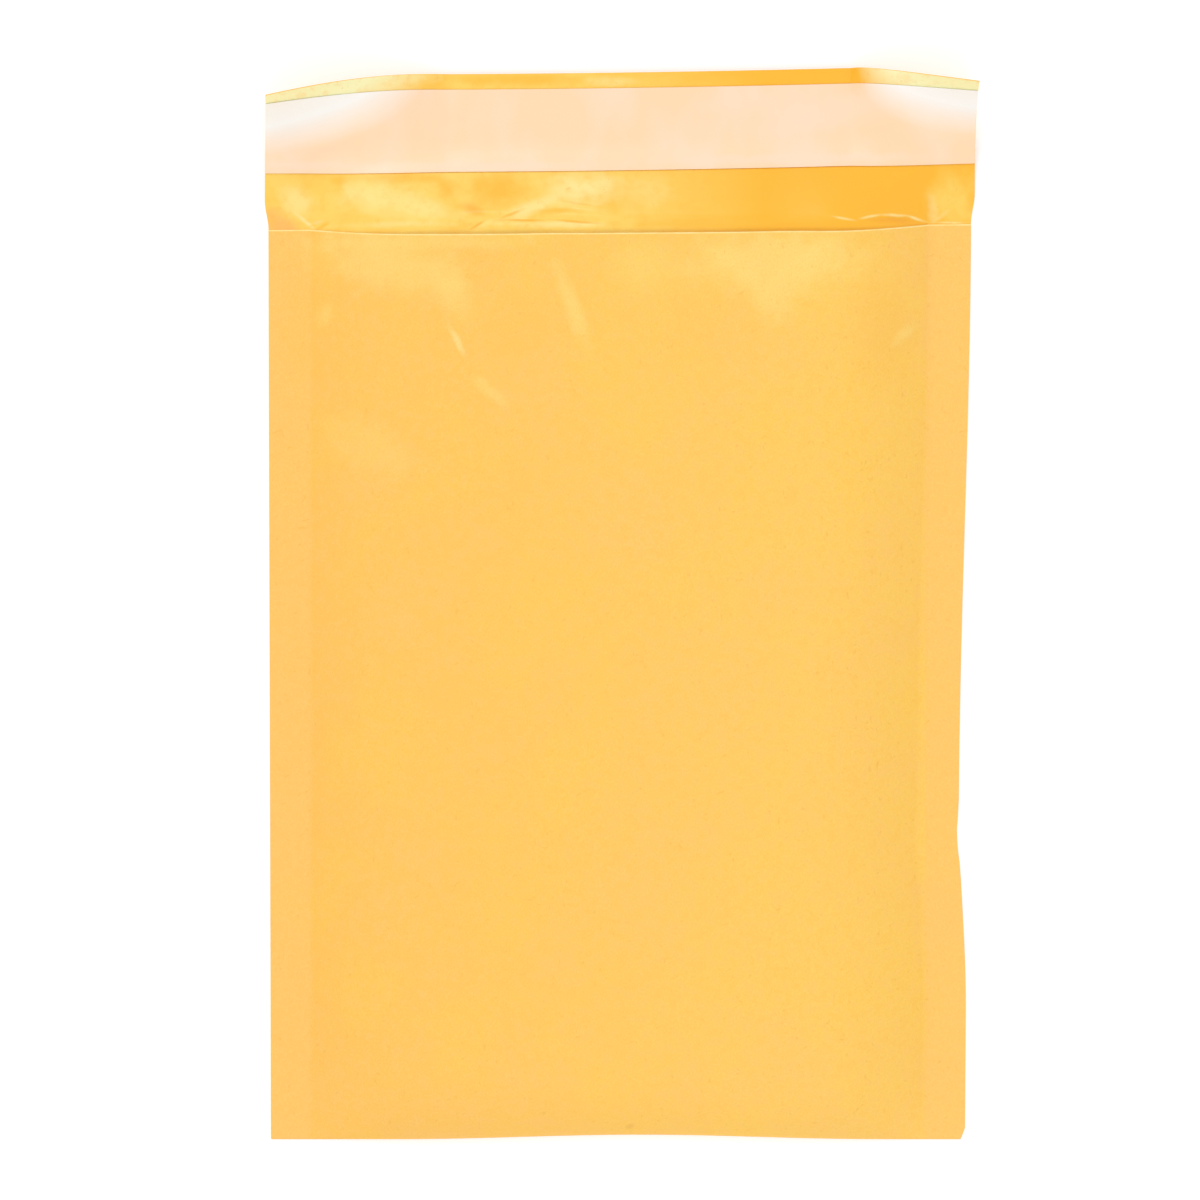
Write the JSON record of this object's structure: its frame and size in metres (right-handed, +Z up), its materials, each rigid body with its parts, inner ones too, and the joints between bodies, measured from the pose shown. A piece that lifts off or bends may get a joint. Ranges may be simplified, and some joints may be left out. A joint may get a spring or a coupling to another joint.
{
  "type": "bubble mailer",
  "caption": "Empty kraft bubble mailer lying flat, folded and side-seamed pouch with bubble lining, open flap with adhesive strip and release liner.",
  "frame": {"origin": "on the underside of the back panel, at the middle of the mailer's width and length with the flap open", "axes": "+X across the mailer towards its right edge, +Y along it from the bottom fold towards the flap, +Z up out of the front panel"},
  "size_m": [0.221, 0.3333, 0.0225],
  "materials": {
    "kraft_paper": "matte golden kraft, with the glossier film side showing on the flap",
    "bubble_film": "clear glossy polyethylene bubble film",
    "adhesive": "glossy, tacky band",
    "release_film": "translucent satin release film"
  },
  "bodies": {
    "root": {"kraft_envelope": "kraft_paper", "bubble_lining": "bubble_film", "adhesive_strip": "adhesive", "release_liner": "release_film"}
  },
  "joints": []
}
